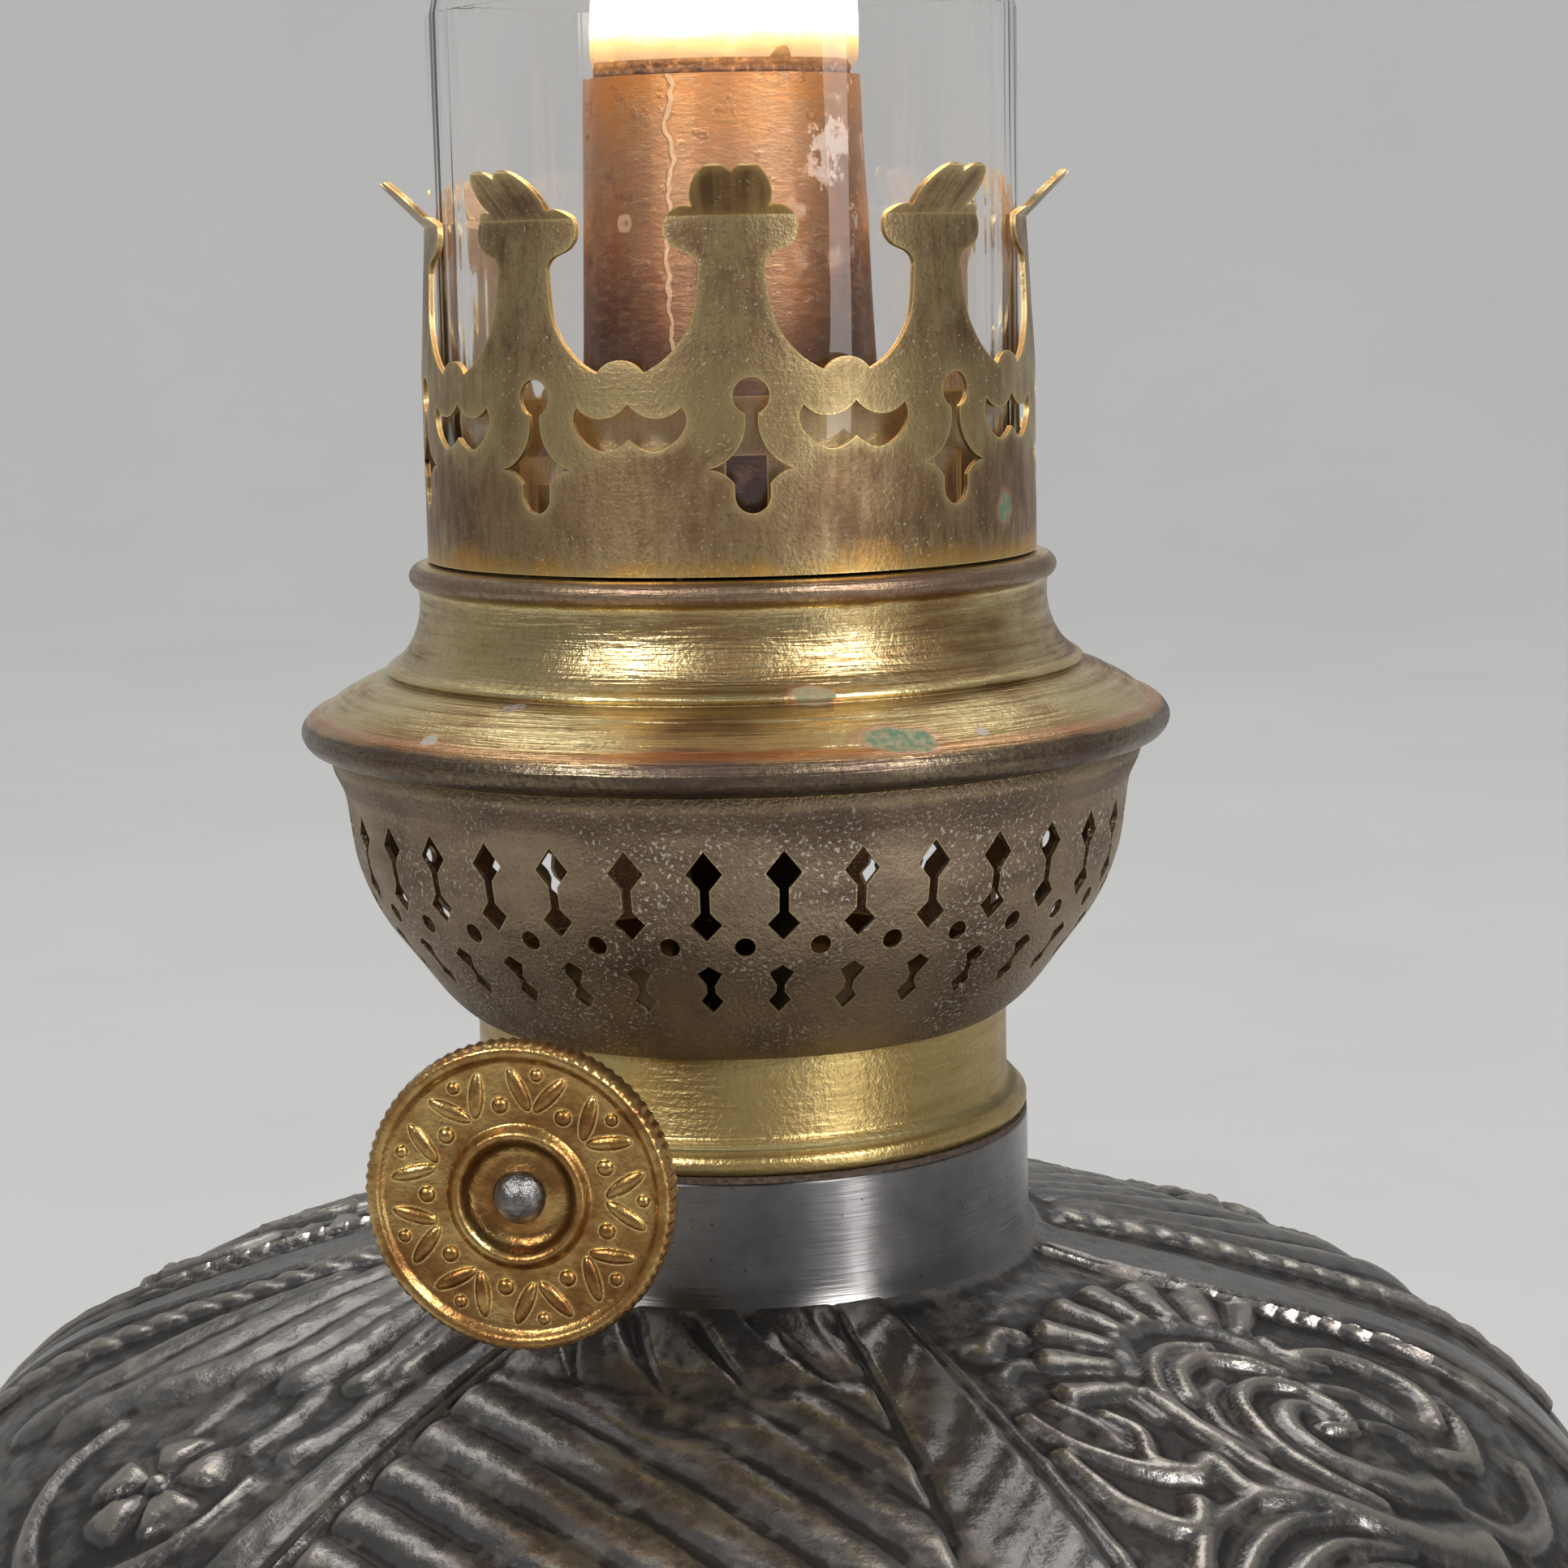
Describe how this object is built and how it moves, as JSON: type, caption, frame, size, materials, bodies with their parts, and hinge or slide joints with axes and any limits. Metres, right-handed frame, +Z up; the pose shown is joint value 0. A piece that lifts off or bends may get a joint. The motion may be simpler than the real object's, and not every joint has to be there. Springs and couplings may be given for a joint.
{
  "type": "table oil lamp",
  "caption": "Footed oil lamp with cast font, screw-in round-wick burner, wick knob, prong gallery and lift-off glass chimney.",
  "frame": {"origin": "on the table under the lamp's axis, at the foot's lowest plane", "axes": "+Z up along the lamp's axis; front is -Y, with the wick knob at the front left"},
  "size_m": [0.1684, 0.1684, 0.4651],
  "materials": {
    "spelter": "dark polished cast spelter with pale rubbed ridges",
    "collar_steel": "turned and polished, dark",
    "tie_steel": "plain steel",
    "seal_leather": "oiled leather washer",
    "band_brass": "satin yellow brass",
    "basket_bronze": "dull tarnished brass with fine pale specks",
    "tube_brass": "heat-tinted brass",
    "feed_brass": "aged brass",
    "knob_brass": "pressed brass, orange-brown tarnish, bright edges",
    "rivet_steel": "domed steel rivet",
    "wick_cotton": "woven cotton, charred at the top",
    "dish_brass": "worn golden-brown brass",
    "crown_brass": "aged brass with bright cut edges",
    "glass": "clear lamp glass"
  },
  "bodies": {
    "lamp": {"foot": "spelter", "stem": "spelter", "font_bowl": "spelter", "font_shoulder": "spelter", "font_seam_band": "spelter", "font_collar": "collar_steel", "tie_rod": "tie_steel", "tie_nut": "tie_steel", "tie_washer": "tie_steel"},
    "seal": {"seal_washer": "seal_leather"},
    "burner": {"burner_band": "band_brass", "thread_sleeve": "band_brass", "burner_floor": "band_brass", "basket": "basket_bronze", "wick_tube": "tube_brass", "draught_tube": "tube_brass", "draught_inlet": "tube_brass", "shaft_bearings": "feed_brass", "shaft_bush": "feed_brass"},
    "feed": {"feed_shaft": "feed_brass", "wick_wheel_front": "feed_brass", "wick_wheel_back": "feed_brass", "knob": "knob_brass", "knob_rivet": "rivet_steel"},
    "wick": {"wick": "wick_cotton"},
    "gallery": {"gallery_dish": "dish_brass", "gallery_skirt": "dish_brass", "gallery_floor": "dish_brass", "crown": "crown_brass", "seat_ring": "crown_brass"},
    "chimney": {"chimney": "glass"}
  },
  "joints": [
    {"name": "burner_rise", "type": "slide", "parent": "lamp", "child": "seal", "axis": [0, 0, 1], "range_m": [0, 0.0074]},
    {"name": "burner_unscrew", "type": "hinge", "parent": "seal", "child": "burner", "pos_m": [0, 0, 0.15], "axis": [0, 0, 1], "range_deg": [0, 1260]},
    {"name": "knob_turn", "type": "hinge", "parent": "burner", "child": "feed", "pos_m": [-0.00856, 0.00166, 0.155], "axis": [-0.1908, -0.9816, 0], "range_deg": [-100, 50]},
    {"name": "wick_feed", "type": "slide", "parent": "burner", "child": "wick", "axis": [0, 0, 1], "range_m": [-0.008, 0.004]},
    {"name": "gallery_lift", "type": "slide", "parent": "burner", "child": "gallery", "axis": [0, 0, 1], "range_m": [0, 0.062]},
    {"name": "chimney_lift", "type": "slide", "parent": "gallery", "child": "chimney", "axis": [0, 0, 1], "range_m": [0, 0.06]}
  ],
  "couplings": [
    {"joint": "burner_rise", "follows": "burner_unscrew", "m_per_rad": 0.00033423},
    {"joint": "wick_feed", "follows": "knob_turn", "m_per_rad": 0.0045}
  ]
}
